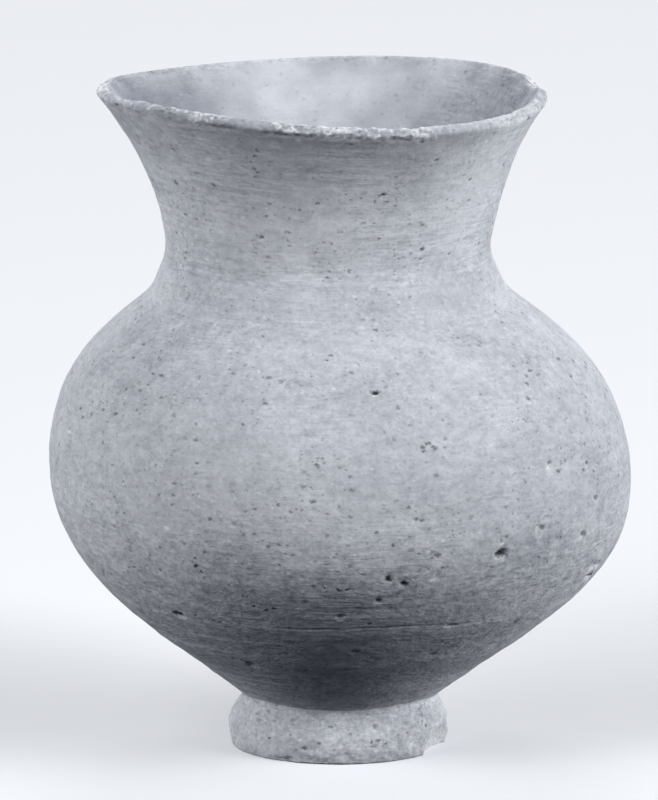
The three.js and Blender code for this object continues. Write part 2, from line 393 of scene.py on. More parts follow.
def tone_and_painted_light_patches(points, patches, seed):
    """How much paler, or darker below 0, soft patches make the clay, the patches holding uneven tone and
    painted light and shade. Each patch adds its amount times exp(-(turn / width)^2 - (rise / height)^2), and
    a coarse noise pushes its edge about."""
    degrees = np.degrees(np.arctan2(points[..., 1], points[..., 0])) + 7 * noise(points, 7, seed)
    heights = points[..., 2] + 1.8 * noise(points, 5, seed + 1)
    total = np.zeros(points.shape[:2])
    for towards_degrees, height, wide, tall, amount in patches:
        turn = (degrees - towards_degrees + 180) % 360 - 180
        total += amount * np.exp(-((turn / wide) ** 2) - ((heights - height) / tall) ** 2)
    return total


def between(angles, run, fade):
    """1 inside a run of degrees round the jar and 0 outside it, with soft ends."""
    degrees = np.degrees(angles)
    begun = smooth(run[0] - fade, run[0] + fade, degrees)
    ended = smooth(run[1] - fade, run[1] + fade, degrees)
    return begun * (1 - ended)


# The step where the shaving tool lifted, and a smaller one above: height, run of degrees and depth
LEDGES = ((34.8, (-105, -60), 0.26), (39.3, (-101, -90), 0.12))
LEDGE_WANDER = 0.4
LEDGE_WIDTH = 1.5

# Below here the shaving tool dragged the grit
SHAVED_BELOW = (30, 38)

# How far the slip is smeared from the neck's joint, and where the walls' relief fades out towards it
SMEARED = 6.5
JOINT_FADE = (6, 13)

# Finger rings inside the body: how high and how far apart. They fade out towards the middle of the floor.
RING_HEIGHT = 0.3
RING_STEP = 8
RINGS_FROM = (8, 20)

# The deepest that a hollow goes into each piece
BODY_DEEPEST = 1.3
NECK_DEEPEST = 1.5
FOOT_DEEPEST = 3.5

# Pits where grit fell out or straw burnt away: degrees, height, width, tallness, turn and depth
BODY_PITS = (
    (-80, 83.9, 2.1, 1.6, 10, 1.3), (-57, 50.3, 3.4, 2.1, 8, 1.2), (-132, 34.9, 2.7, 2.2, -15, 1.0),
    (-83, 41.8, 1.7, 1.1, -15, 0.7), (-81, 46.8, 1.4, 1.5, 0, 0.7), (-78, 45.6, 1.5, 1.5, 0, 0.8),
    (-31, 65.3, 1.4, 2.0, 0, 0.6), (-29, 57.7, 1.8, 2.4, 20, 0.7), (-34, 51.0, 1.8, 2.4, -15, 0.7),
    (-87, 28.9, 1.5, 1.6, 15, 0.6), (-91, 38.1, 2.0, 1.3, 0, 0.6), (-120, 23.3, 3.4, 1.3, -5, 0.6),
    (-64, 34.3, 3.0, 0.9, 0, 0.5), (-64, 26.5, 2.4, 1.0, 0, 0.5), (-71, 47.2, 1.3, 1.3, 0, 0.5),
    (-120, 47.2, 2.8, 0.6, -45, 0.8), (-90.5, 44.4, 3.2, 0.6, 3, 0.4), (-48, 54.6, 1.4, 1.7, 20, 0.5),
    (-43, 66.6, 1.9, 1.9, -30, 0.5), (-20.5, 41.4, 12, 1.5, -14, 0.9), (-21, 39.1, 7, 1.4, -19, 0.8),
    (60, 62, 2.2, 1.6, 10, 0.9), (128, 78, 1.6, 1.3, 0, 0.7), (15, 46, 2.4, 1.5, 0, 0.8),
    (96, 40, 2.6, 1.6, -10, 0.8), (160, 52, 1.7, 1.5, 20, 0.7), (85, 88, 1.5, 1.2, 0, 0.6),
    (112, 60, 1.3, 1.2, 0, 0.6), (30, 80, 1.4, 1.1, 0, 0.6),
)


def ledges(climbed, angles):
    """The steps of LEDGES: proud above, cut back below, and easing out again further down the wall."""
    relief = 0
    for height, run, depth in LEDGES:
        wander = LEDGE_WANDER * (np.cos(7 * angles + height) + 0.3 * np.sin(37 * angles))
        below = climb(height) + wander - climbed
        groove = np.exp(-((below / 0.3) ** 2))
        cut = smooth(0.0, 0.6, below) * (1 - smooth(1.0, 4.0, below))
        proud = np.exp(-((below - 0.75) / 0.35) ** 2)
        broken_off = 0.6 + 0.4 * np.sin(11 * angles + 2 * height) * np.sin(29 * angles)
        relief = relief + between(angles, run, 7) * depth * broken_off * (0.15 * proud - groove - 0.3 * cut)
    return relief


def wall_pits(pits):
    """The hollows for carve of a list of pits that lie on the outer wall."""
    return [
        hollow(degrees, radius_at(wall, height), height, wide, 2 * deep, tall, turn)
        for degrees, height, wide, tall, turn, deep in pits
    ]


def make_body():
    """The body's outer wall and seat, fine, then its inside, coarser, from the pole under the floor to the
    pole on it. The outer wall is the profile carried round, plus relief along its normals: wheel marks,
    lumps, dragged grit on the shaved underside, the ledges, and the listed pits."""
    angles = columns_round(BODY_COLUMNS)
    few = angles[::4]
    line = np.concatenate([np.linspace(BASE_EDGE, SEAM, 20), underside[1:], shoulder[1:]])
    places = [np.interp(ledge[0], line[:, 1], lengths(line)) for ledge in LEDGES]
    outer = graded(line, BODY_STEP, LEDGE_STEP, places, LEDGE_WIDTH)
    under = even([(HIDDEN_STEP, BASE_HEIGHT), (BASE_EDGE[0] - HIDDEN_STEP, BASE_HEIGHT)], HIDDEN_STEP)
    inner_joint = (JOINT[0] - JOINT_WALL, JOINT[1])
    inner_belly = (BELLY[0] - BELLY_WALL, BELLY[1])
    inner_floor = (0, BASE_HEIGHT + FLOOR_WALL)
    vault = cubic(inner_belly, 90, INSIDE_REACH_UP, inner_joint, JOINT_SLOPE, JOINT_REACH)[::-1]
    bowl = cubic(inner_floor, 0, FLOOR_REACH, inner_belly, 90, INSIDE_REACH_DOWN)[::-1]
    inner = even(np.concatenate([vault, bowl[1:]]), INSIDE_STEP)[:-1]

    grid = spin(outer, angles)
    normals = outward(outer, angles)
    space = wheel_space(grid)
    height = grid[..., 2]
    relief = wheel_marks(grid, 11) + layered(grid, (0.15, 28, 13), (0.05, 8, 14), (0.03, 1.9, 15))
    relief += (1 - smooth(*SHAVED_BELOW, height)) * layered(space, (0.06, 1.0, 16))
    relief += ledges(space[..., 2], angles)
    relief *= smooth(SEAM[1] - 1, SEAM[1] + 3, height) * smooth(*JOINT_FADE, JOINT[1] - height)
    skin = grid + normals * relief[..., None]
    grid, slid = carve(skin, normals, wall_pits(BODY_PITS), BODY_DEEPEST)
    broken = np.clip(slid / 0.5, 0, 1)

    inside = spin(inner, few)
    rings = RING_HEIGHT * np.cos(2 * np.pi * lengths(inner) / RING_STEP) * smooth(*RINGS_FROM, inner[:, 0])
    inside += outward(inner, few) * rings[:, None, None]
    bands = [
        band(np.array([[[0.0, 0.0, BASE_HEIGHT]]]), 0),
        band(spin(under, few), under[:, :1] - BASE_EDGE[0]),
        band(grid, space[..., 2], broken, tone_and_painted_light=tone_and_painted_light_patches(skin, BODY_PAINTED_SHADE_AND_TONE, 71), skin=skin),
        band(inside, inside[..., 2], coarse=INSIDE_COARSENESS),
        band(np.array([[[0.0, 0.0, inner_floor[1]]]]), 0, coarse=INSIDE_COARSENESS),
    ]
    return mesh_piece("thrown_body", bands, False)


# Patches that make the clay darker or paler: degrees, height, width, tallness and amount
# On the body, the patches that darken it low on the belly in front are painted shade; the others vary the
# tone round the jar
BODY_PAINTED_SHADE_AND_TONE = (
    (-90, 30, 60, 12, -0.12), (-92, 43, 34, 8, -0.2), (-120, 40, 30, 8, -0.06), (-30, 86, 22, 14, -0.06),
    (-88, 62, 30, 10, 0.03), (-142, 89, 24, 9, -0.13), (-145, 73, 20, 8, 0.07), (-48, 72, 20, 14, 0.09),
    (-52, 48, 20, 8, -0.08), (20, 40, 30, 14, -0.1), (140, 70, 30, 16, -0.08),
)
# On the neck, painted light makes the front and the right paler; the patch at the back darkens it a little
NECK_PAINTED_LIGHT_AND_TONE = (
    (-90, 115, 36, 12, 0.30), (-38, 116, 22, 14, 0.26), (-25, 131, 22, 7, 0.14), (80, 118, 40, 8, -0.08),
)
# In the mouth, painted shade darkens the inside on the right and on the left, and painted light makes its far
# middle paler
MOUTH_PAINTED_SHADE_AND_LIGHT = ((14, 128, 34, 14, -0.36), (158, 130, 32, 16, -0.38), (88, 126, 30, 9, 0.13))
# On the foot, the patches make it darker along the top at the front-left and on the right, and paler in front
FOOT_TONE_PATCHES = ((-112, 9, 36, 3.5, -0.14), (-85, 6, 50, 3, 0.12), (-38, 5, 26, 12, -0.16))

# The worn lip: runs of degrees where it is rubbed down and crumbled, and how much
LIP_WEAR = (
    ((-180, -147), 0.9), ((-143, -113), 0.7), ((-106, -58), 0.75), ((-52, -6), 0.4), ((4, 30), 0.5),
    ((166, 200), 0.8),
)
WEAR_ELSEWHERE = 0.15

# Runs of degrees: the far-left lip, on both sides of where the columns meet, the cracked lip in front, the
# lip in front whose top is darkened as painted shade, and the right of the mouth's inside, where the wiping
# hand missed some grit
LEFT_RUNS = ((-190, -140), (178, 220))
CRACKED_RUN = (-140, -56)
SHADED_FRONT_LIP_RUN = (-145, -52)
GRITTY_RUN = (-10, 56)

# Flakes off the rim: degrees, how far out and up from the lip, length round the jar, depth and tallness
RIM_FLAKES = (
    (11, -0.6, 2.6, 16, 5.2, 4.6), (174, -0.9, 3.3, 26, 5.2, 3.6), (-32, 0.9, -0.4, 24, 2.4, 3.4),
    (-63, 0.6, 0, 4, 2.6, 3.2), (-84, 0.7, 0, 9, 2.2, 2.4), (-128, 0.6, -1.2, 17, 3.2, 5),
    (190, 0.8, 0, 8, 2.4, 3), (-70, 0.5, 0.9, 3, 1.9, 1.7), (-76, 0.4, 0.7, 2.6, 1.7, 1.8),
    (-97, 0.6, 0.5, 2.4, 1.8, 1.9), (-108, 0.6, 0.8, 3.2, 1.9, 1.6), (-58, 0.6, 0.3, 2.6, 1.6, 1.6),
    (22, 0.3, 1.8, 3.2, 3.0, 2.2), (84, 0.6, 0.2, 10, 2.2, 2.8), (140, 0.7, -0.3, 7, 2.2, 3.0),
)
NECK_PITS = (
    (-145, 121.9, 1.7, 1.3, 0, 0.6), (-110, 126.9, 0.9, 1.5, 0, 0.5), (-72.5, 121.9, 1.4, 1.1, 0, 0.5),
    (-42, 131.0, 1.8, 1.2, -20, 0.5), (-113, 112.3, 1.4, 1.1, 0, 0.4), (-56, 109.2, 1.1, 0.9, 0, 0.4),
    (48, 118, 1.8, 1.3, 0, 0.6), (110, 124, 1.5, 1.2, 0, 0.5), (155, 112, 1.4, 1.1, 0, 0.5),
    (20, 126, 1.2, 1.0, 0, 0.5),
)


def lip_wear(angles):
    """How worn the lip is at each angle: the hand-chosen runs over a little wear all round."""
    wear = WEAR_ELSEWHERE
    for run, amount in LIP_WEAR:
        wear = np.maximum(wear, amount * between(angles, run, 6))
    return wear


def flakes(places, radius, height):
    """The hollows for carve of a list of flakes, whose places are measured outwards and up from an edge."""
    return [hollow(degrees, radius + out, height + up, *sizes) for degrees, out, up, *sizes in places]


def neck_section():
    """The neck's closed section: up the outside, over the lip, down the inside and back across its level
    foot. Gives its points and the lengths along it where the lip starts, the lip ends and the inside ends."""
    foot_in = (NECK_FOOT[0] - JOINT_WALL, NECK_FOOT[1])
    waist_in = (WAIST[0] - WAIST_WALL, WAIST[1])
    lip_in = LIP + LIP_WALL * direction(FLARE_SLOPE + 90)
    outside = even(np.concatenate([neck_low, flare[1:]]), NECK_STEP)[:-1]
    lip = cubic(LIP, FLARE_SLOPE, LIP_TURN_REACH, lip_in, FLARE_SLOPE + 180, LIP_TURN_REACH)
    lip = even(lip, LIP_STEP)[:-1]
    flare_in = cubic(waist_in, 90, WAIST_REACH, lip_in, FLARE_SLOPE, LIP_REACH)
    low_in = cubic(foot_in, JOINT_SLOPE, NECK_FOOT_REACH, waist_in, 90, WAIST_REACH)
    down = np.concatenate([low_in, flare_in[1:]])[::-1]
    near_lip = lengths(down) < RIM_INSIDE
    rim_inside = even(down[near_lip], RIM_INSIDE_STEP)[:-1]
    rest = even(down[~near_lip], NECK_INSIDE_STEP)
    across = even([foot_in, NECK_FOOT], HIDDEN_STEP)[1:-1]
    runs = [outside, lip, rim_inside, rest, across]
    section = np.concatenate(runs)
    ends = np.cumsum([len(run) for run in runs])
    along = lengths(section)
    return section, along[ends[0]], along[ends[1]], along[ends[3] - 1]


def make_neck():
    """The neck's section carried round, with relief along its normals: wheel marks outside, rubbed crumbs and
    lost grit on the lip, and then flakes."""
    angles = columns_round(NECK_COLUMNS)
    section, lip_start, lip_end, inside_end = neck_section()
    along = lengths(section)
    grid = spin(section, angles)
    normals = outward(section, angles)
    space = wheel_space(grid)

    # Where things are: the far-left lip is worn further down its outside
    on_left = sum(between(angles, run, 8) for run in LEFT_RUNS)
    on_lip = smooth(lip_start - 1.7 - 1.9 * on_left, lip_start + 0.2, along[:, None])
    on_lip = on_lip * (1 - smooth(lip_end - 0.2, lip_end + 1.4, along))[:, None]
    past_lip = smooth(lip_start, lip_end, along)[:, None]
    is_inside = past_lip * (1 - smooth(inside_end - 2, inside_end, along))[:, None]
    is_outside = 1 - past_lip
    wear = lip_wear(angles) * on_lip

    # Fine cracks follow both edges of the lip
    cracks = sum(
        smooth(-0.15, 0.35, noise(grid, 5, 34 + i)) * np.exp(-((along - edge) / 0.3) ** 2)[:, None]
        for i, edge in enumerate((lip_start - 0.5, lip_end + 0.1))
    ) * between(angles, CRACKED_RUN, 10)
    crumbs = layered(grid, (0.55, 1.2, 31), (0.55, 0.65, 32))
    chipped = smooth(0.15, 0.75, noise(grid, 2.4, 33))
    relief = wheel_marks(grid, 21) + layered(grid, (0.12, 24, 23), (0.03, 1.9, 24))
    relief *= (is_outside + 0.45 * is_inside) * smooth(*JOINT_FADE, grid[..., 2] - NECK_FOOT[1])
    relief += wear * (0.34 * crumbs - 0.16 - 0.42 * chipped) - 0.16 * cracks
    skin = wave_rim(grid + normals * relief[..., None], angles)
    grid, slid = carve(skin, normals, flakes(RIM_FLAKES, *LIP) + wall_pits(NECK_PITS), NECK_DEEPEST)
    roughened = smooth(0.02, 0.5, slid)
    grid = grid + normals * (roughened * 0.16 * crumbs)[..., None]

    # What the material reads
    pale_crumbs = smooth(-0.1, 0.35, crumbs + 0.3 * noise(skin, 6, 38))
    broken = np.clip(0.7 * roughened + (1.3 + on_left) * wear * pale_crumbs, 0, 1)
    # Outside, painted light makes the neck paler in front and on the right; inside, the mouth's patches are
    # painted shade at the sides and painted light in the far middle
    tone_and_painted_light = tone_and_painted_light_patches(skin, NECK_PAINTED_LIGHT_AND_TONE, 73) * is_outside + tone_and_painted_light_patches(skin, MOUTH_PAINTED_SHADE_AND_LIGHT, 75) * is_inside
    tone_and_painted_light += layered(skin, (0.12, 9, 39), (0.10, 4, 40)) * is_inside
    # Painted shade darkens the top of the lip in front; the cracks darken along their lines
    tone_and_painted_light -= 0.2 * on_lip * between(angles, SHADED_FRONT_LIP_RUN, 14) + 0.36 * cracks
    # Down the inside the climb goes on from the lip, so that the marks don't mirror the outside's
    climbed = np.where(along < lip_start, space[:, 0, 2], climb(LIP[1]) + along - lip_start)
    wiped = INSIDE_COARSENESS + 0.4 * between(angles, GRITTY_RUN, 14)
    coarse = 1 + (wiped - 1) * smooth(lip_end - 0.5, lip_end + 2, along)[:, None]
    return mesh_piece("thrown_neck", [band(grid, climbed[:, None], broken, coarse, tone_and_painted_light, skin)], True)


# Flakes off the ring foot, as the rim's, measured from the outer edge of the face that it stands on
FOOT_FLAKES = (
    (181, 1.2, 2.4, 3, 2.6, 3.2), (-20, 7.7, -1.7, 28, 20, 20), (-24, 1.4, 6.8, 9, 2.0, 3.4),
    (-118, 0.7, 0.3, 7, 2.0, 1.6), (-69, -0.1, 4.9, 1.7, 1.0, 1.0), (-73, -0.1, 4.6, 1.2, 0.8, 0.9),
    (-108, -0.2, 3.4, 1.3, 0.8, 1.1), (-86, 0, 2.6, 1.4, 0.8, 0.9), (-52, 0, 5.6, 1.2, 0.8, 0.9),
    (-130, 0.2, 4.5, 1.1, 0.8, 1.6), (-95, -1.1, 0.4, 9, 0.8, 0.9), (-65, -1, 0.3, 6, 0.8, 0.8),
    (70, 0.3, 3.0, 4, 1.6, 2.2), (120, -0.4, 1.0, 6, 1.8, 1.8),
)


def make_foot():
    """The ring foot's section, closed and carried round: a level bearing face, a full outside, the smeared
    top edge and the seat under the body. Lumps and lost grit go along the normals off the bearing face."""
    angles = columns_round(FOOT_COLUMNS)
    outside = even(foot_wall, FOOT_STEP)
    seat = [FOOT_EDGE + (-0.35, 0.2), BASE_EDGE + (1.1, -0.2)]
    back = even([*seat, (BEARING_INNER[0], 4.1), BEARING_INNER], 1.0)
    bearing = even([BEARING_INNER, BEARING_OUTER], 0.9)[1:-1]
    section = np.concatenate([outside, back, bearing])
    grid = spin(section, angles)
    normals = outward(section, angles)
    height = grid[..., 2]
    shown = (np.arange(len(section)) < len(outside))[:, None]
    free = smooth(0.0, 1.6, height) * np.where(shown, 1, 0.3)
    crumbs = layered(grid, (0.5, 1.6, 42), (0.5, 0.8, 43))
    lost = smooth(0.25, 0.7, noise(grid, 1.5, 44) + 0.25 - 0.04 * height)
    relief = layered(grid, (0.22, 7, 40), (0.12, 3.2, 41)) + 0.10 * crumbs - 0.16 * lost
    low_edge = np.exp(-((height - 0.9) / 0.9) ** 2) * shown
    relief = relief * free + low_edge * (0.25 * crumbs - 0.12)
    skin = wave_seam(grid + normals * relief[..., None], angles)
    # Flakes slide in level, so that the bearing face stays flat
    level = np.broadcast_to(carried_round(1, 0, angles), skin.shape)
    grid, slid = carve(skin, level, flakes(FOOT_FLAKES, *BEARING_OUTER), FOOT_DEEPEST)
    grid[..., 2] = np.maximum(grid[..., 2], 0)
    roughened = smooth(0.02, 0.5, slid)
    grid = grid + normals * (roughened * free * 0.05 * crumbs)[..., None]
    broken = np.clip(roughened + 0.5 * lost * free, 0, 1)
    tone_and_painted_light = tone_and_painted_light_patches(skin, FOOT_TONE_PATCHES, 77)
    return mesh_piece("pressed_ring_foot", [band(grid, climb(height), broken, tone_and_painted_light=tone_and_painted_light, skin=skin)], True)


def make_neck_slip():
    """The slip under the neck, a closed section like an H on its side: the level layer between the pieces
    and a skin smeared over the joint on either side. A skin is thickest at the joint and dips under the clay
    at its ends. The outer one follows the wall's radius averaged over nearby heights and fills the groove."""
    angles = columns_round(NECK_COLUMNS)
    low, high = JOINT[1] - SMEARED, NECK_FOOT[1] + SMEARED
    buried = 0.5
    inset = 0.6
    heights = np.linspace(low, high, round((high - low) / SLIP_STEP) + 1)
    nearby = np.linspace(low - 6, high + 6, 300)
    weights = np.exp(-((heights[:, None] - nearby) / 2.2) ** 2)
    smeared = weights @ radius_at(wall, nearby) / weights.sum(axis=1)
    thick = np.sin(np.pi * (heights - low) / (high - low)) ** 2
    radius = radius_at(wall, heights)
    outer = np.stack([radius + (smeared - radius + 0.4) * thick - 0.2, heights], axis=1)
    shut = np.stack([radius - buried, heights], axis=1)
    inner_heights = np.linspace(high - 2, low + 2, 12)
    inner_skin = np.interp(inner_heights, (low + 2, JOINT[1] + 0.5, high - 2), (-0.12, 0.3, -0.12))
    inner_radius = radius_at(wall, inner_heights) - JOINT_WALL
    inner = np.stack([inner_radius - inner_skin, inner_heights], axis=1)
    inner_shut = np.stack([inner_radius + buried, inner_heights], axis=1)
    section = np.concatenate([
        outer,
        shut[heights > NECK_FOOT[1]][::-1],
        [(NECK_FOOT[0] - inset, NECK_FOOT[1]), (NECK_FOOT[0] - JOINT_WALL + inset, NECK_FOOT[1])],
        inner_shut[inner_heights > NECK_FOOT[1]][::-1],
        inner,
        inner_shut[inner_heights < JOINT[1]][::-1],
        [(JOINT[0] - JOINT_WALL + inset, JOINT[1]), (JOINT[0] - inset, JOINT[1])],
        shut[heights < JOINT[1]][::-1],
    ])
    grid = spin(section, angles)
    normals = outward(section, angles)
    shown = np.zeros((len(section), 1))
    shown[:len(outer), 0] = thick
    relief = layered(wheel_space(grid), (0.07, 3.2, 51), (0.04, 1.1, 52)) + layered(grid, (0.08, 11, 53))
    grid = grid + normals * (relief * shown)[..., None]
    return mesh_piece("smeared_neck_slip", [band(grid, climb(grid[..., 2]))], True)


# The foot's slip was mixed from the foot's paler clay
FOOT_SLIP_PALER = 0.12


def make_foot_slip():
    """The slip that squeezed out between the foot and the body: a closed section with a low uneven bead along
    the seam and a thin tongue down the seat."""
    angles = columns_round(FOOT_COLUMNS)
    up_wall = direction(SEAM_SLOPE)
    off_wall = direction(SEAM_SLOPE - 90)
    bead_end = SEAM + 1.3 * up_wall - 0.15 * off_wall
    bead = even(cubic(FOOT_EDGE + (0.05, -0.5), 110, 0.5, bead_end, SEAM_SLOPE + 20, 0.7), BEAD_STEP)
    section = np.concatenate([
        bead,
        even([SEAM + 0.6 * up_wall - 0.3 * off_wall, BASE_EDGE + (0.3, 0.4)], SEAT_STEP),
        even([BASE_EDGE + (0.9, -0.1), FOOT_EDGE + (-0.5, -0.7)], SEAT_STEP),
    ])
    grid = spin(section, angles)
    normals = outward(section, angles)
    shown = (np.arange(len(section)) < len(bead))[:, None]
    relief = layered(grid, (0.10, 2.6, 61), (0.06, 0.9, 62)) * shown
    grid = wave_seam(grid + normals * relief[..., None], angles)
    return mesh_piece("squeezed_foot_slip", [band(grid, climb(grid[..., 2]), tone_and_painted_light=FOOT_SLIP_PALER)], True)


def linear(hex_colour):
    """An sRGB hex colour as the linear values that shaders take."""
    channels = [int(hex_colour[i:i + 2], 16) / 255 for i in (1, 3, 5)]
    curve = [c / 12.92 if c <= 0.04045 else ((c + 0.055) / 1.055) ** 2.4 for c in channels]
    return (*curve, 1.0)


def add(tree, kind, inputs, **options):
    """Adds one shader node with its options and gives its outputs. Each input gets a value, or a link if it
    is another node's output."""
    made = tree.nodes.new("ShaderNode" + kind)
    for option, value in options.items():
        setattr(made, option, value)
    for socket, value in inputs.items():
        if isinstance(value, bpy.types.NodeSocket):
            tree.links.new(value, made.inputs[socket])
        else:
            made.inputs[socket].default_value = value
    return made.outputs


# Options that many nodes share
MULTIPLY = {"operation": "MULTIPLY"}
MULTIPLY_ADD = {"operation": "MULTIPLY_ADD"}
EASED = {"interpolation_type": "SMOOTHSTEP"}
COLOURS = {"data_type": "RGBA"}

# Soft layers of tone: their space, the size of their lumps across, along and up in millimetres, and octaves
SOFT_LAYERS = {
    "clouds": ("object", (46, 46, 34), 2),
    "mottling": ("object", (12, 12, 9), 2),
    "patches": ("object", (2.6, 2.6, 1.7), 2),
    "blotches": ("object", (0.95, 0.95, 0.75), 1),
    "streaks": ("wheel", (15, 15, 0.9), 2),
    "drags": ("wheel", (2.8, 2.8, 0.5), 2),
    "grain": ("object", (0.5, 0.5, 0.45), 1),
}
BROAD_LAYERS = ("clouds", "mottling")

# Inclusions cut by the surface: size of the cells that each holds one, and its radius, in millimetres
INCLUSIONS = {"pores": (2.4, 0.64), "specks": (1.1, 0.36), "grit": (1.5, 0.4)}

# The lumps of the noises that gather inclusions, wipe off wheel lines, bend marks and crumble fresh breaks
CLUSTER_SIZE = (9, 9, 9)
LINED_SIZE = (17, 17, 17)
BEND_SIZE = (0.8, 0.8, 0.8)
CRUMB_SIZE = (0.7, 0.7, 0.6)
BENT_BY = 1.1

# Marks listed one by one, each with its degrees, height and radius. They are wider than high by
# MARK_FLATNESS.
MARK_FLATNESS = 1.5
# The black marks darken the pits as painted shade. The dark marks are small hollows and dark specks, their
# darkness partly painted shade. The light marks are pale grit.
BODY_BLACK = (
    (-80, 83.9, 0.95), (-57, 50.3, 1.35), (-132, 34.9, 1.1), (-81, 46.6, 0.8), (-77.6, 45.5, 0.8),
    (-107, 38.9, 0.45), (-105.3, 39.4, 0.45), (-109.9, 39.7, 0.4), (-101.8, 23, 0.4), (-84.4, 36.2, 0.5),
    (-120.7, 47.8, 0.4), (-119.7, 46.7, 0.4), (-91, 44.4, 0.45), (-89.6, 44.5, 0.45),
)
BODY_DARK = (
    (-90, 90.1, 0.5), (-91, 89.3, 0.4), (-124, 96.1, 0.6), (-148, 88.6, 0.6), (-143, 76.1, 0.6),
    (-157, 74.8, 0.6), (-95, 63.2, 0.55), (-116, 58.5, 0.55), (-119, 69.5, 0.5), (-124, 64.8, 0.45),
    (-118, 51.3, 0.45), (-94, 70.4, 0.5), (-31, 65.3, 0.75), (-29, 57.7, 0.85), (-34, 51.0, 0.95),
    (-21, 84.4, 0.7), (-36, 84.2, 0.6), (-40, 82.3, 0.5), (-22, 81.1, 0.6), (-71, 51.5, 0.7),
    (-83, 56.8, 0.45), (-80, 54.1, 0.45), (-83, 41.8, 0.65), (-79, 43.3, 0.7), (-70, 48.7, 0.45),
    (-64, 34.5, 0.8), (-87, 28.9, 0.75), (-92, 31.7, 0.45), (-100, 31.2, 0.45), (-120, 23.5, 0.9),
    (-106, 27.8, 0.7), (-64, 26.7, 0.7), (-134.2, 84.4, 0.6), (-137.2, 84.4, 0.5), (-147.5, 86.2, 0.5),
    (-105.2, 81.6, 0.6), (-155, 73.5, 0.5), (-43, 67.4, 0.6), (-41, 65.3, 0.65), (-47, 54.7, 0.7),
    (-75, 59.3, 0.45), (-71.1, 74.0, 0.48), (-72.0, 73.3, 0.52), (-71.9, 72.6, 0.5), (-70.4, 74.0, 0.45),
    (-69.8, 73.4, 0.5), (-69.4, 72.9, 0.55), (-21.5, 40.2, 0.6), (-26.0, 43.5, 0.6), (-20.8, 42.4, 0.6),
)
BODY_LIGHT = (
    (-91, 37.9, 0.75), (-126, 55.4, 0.6), (-160, 69.6, 0.7), (-72, 46.0, 0.6), (-57, 52.4, 0.6),
    (-120, 22.0, 0.75), (-116, 13.5, 0.6), (-56, 27.7, 1.0), (-100, 39.7, 0.5), (-83, 69.5, 0.4),
)
NECK_DARK = (
    (-145, 121.9, 0.7), (-110, 126.9, 0.5), (-57, 129.0, 0.45), (-41, 123.3, 0.5), (-93, 120.3, 0.4),
    (-113, 112.3, 0.55), (-56, 109.2, 0.5), (-43, 107.3, 0.4), (-127, 123.0, 0.55), (-73, 121.9, 0.6),
    (-99, 118.8, 0.35), (-75, 115.7, 0.35), (-89, 111.5, 0.35), (-73, 112.5, 0.35),
)
NECK_LIGHT = (
    (-71.5, 121.6, 0.4), (-119, 116.4, 0.45), (-63, 135.0, 0.9), (-41, 131.6, 0.6), (-96, 134.6, 0.6),
)
FOOT_DARK = (
    (-69, 4.9, 0.6), (-73, 4.7, 0.4), (-108, 3.4, 0.5), (-100, 4.6, 0.4), (-64, 4.1, 0.35), (-86, 2.4, 0.5),
    (-51, 5.7, 0.4), (-95, 8.1, 0.5), (-129, 4.5, 0.5), (-37, 6.4, 0.45), (-84, 6.8, 0.3), (-116, 5.8, 0.3),
)
FOOT_LIGHT = ((-89, 3.8, 0.5), (-110, 5.0, 0.4), (-70, 2.6, 0.6), (-48, 2.9, 0.6))


def mark_place(degrees, height, outline):
    """Where a mark lies in the space of the wheel attribute: on the wall before the rim was lifted, with the
    climb as its height."""
    angle = np.radians(degrees)
    level = height - lift(angle, height)
    place = lean(carried_round(radius_at(outline, level), level, angle))
    place[2] = climb(level)
    return place


def nearest_mark(tree, space, marks, outline):
    """How far the surface is from the nearest of the marks, in radii of that mark: the least of all the
    distances, each divided by its mark's radius."""
    nearest = None
    for degrees, height, radius in marks:
        centre = mark_place(degrees, height, outline) * (MM, MM, MM * MARK_FLATNESS)
        distance = add(tree, "VectorMath", {0: space, 1: centre}, operation="DISTANCE")["Value"]
        scaled = add(tree, "Math", {0: distance, 1: 1 / (radius * MM)}, **MULTIPLY)[0]
        if nearest is None:
            nearest = scaled
        else:
            nearest = add(tree, "Math", {0: nearest, 1: scaled}, operation="MINIMUM")[0]
    return nearest


def lumps(tree, space, size, octaves):
    """The outputs of a noise texture in a space, from 0 to 1, whose lumps have a size in millimetres across,
    along and up."""
    scaled = add(tree, "Mapping", {"Vector": space, "Scale": [1 / (s * MM) for s in size]})["Vector"]
    return add(tree, "TexNoise", {"Vector": scaled, "Scale": 1.0, "Detail": octaves, "Roughness": 0.6})


def blank_material(name):
    """A new material and its node tree, emptied."""
    material = bpy.data.materials.new(name)
    material.use_nodes = True
    material.node_tree.nodes.clear()
    return material, material.node_tree


